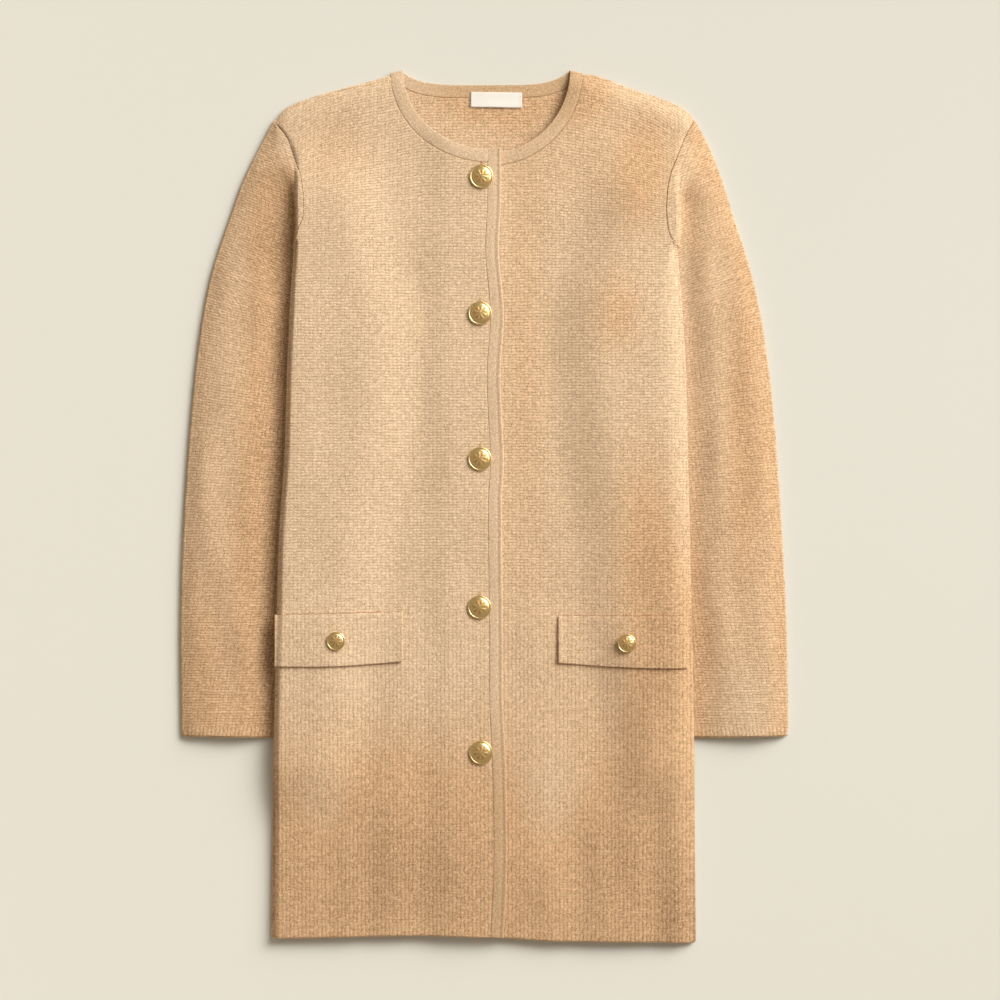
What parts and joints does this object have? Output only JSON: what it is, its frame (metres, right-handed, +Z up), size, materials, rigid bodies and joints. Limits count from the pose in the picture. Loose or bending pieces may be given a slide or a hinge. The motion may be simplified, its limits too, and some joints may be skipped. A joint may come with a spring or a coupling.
{
  "type": "knit blazer",
  "caption": "Long collarless knitted jacket laid flat on its back, sleeves down, with a round neck, domed metal buttons and pocket flaps.",
  "frame": {"origin": "on the surface that the garment lies on, under the middle of its bounding box", "axes": "+X towards the wearer's left, +Y towards the neck, +Z up off the surface"},
  "size_m": [0.5844, 0.8368, 0.0246],
  "materials": {
    "knit": "fine-gauge milano knit in camel heather, matte and slightly fuzzy",
    "band": "smooth jersey knit band in the same yarn, matte",
    "gold": "polished yellow metal, with darker hollows",
    "label": "white woven label, bare, slight satin"
  },
  "bodies": {
    "root": {"back_panel": "knit", "front_right": "knit", "front_left": "knit", "sleeve_right": "knit", "sleeve_left": "knit", "neckband": "band", "front_band": "band", "flap_right": "knit", "flap_left": "knit", "button_1": "gold", "button_2": "gold", "button_3": "gold", "button_4": "gold", "button_5": "gold", "flap_button_right": "gold", "flap_button_left": "gold", "label": "label"}
  },
  "joints": []
}
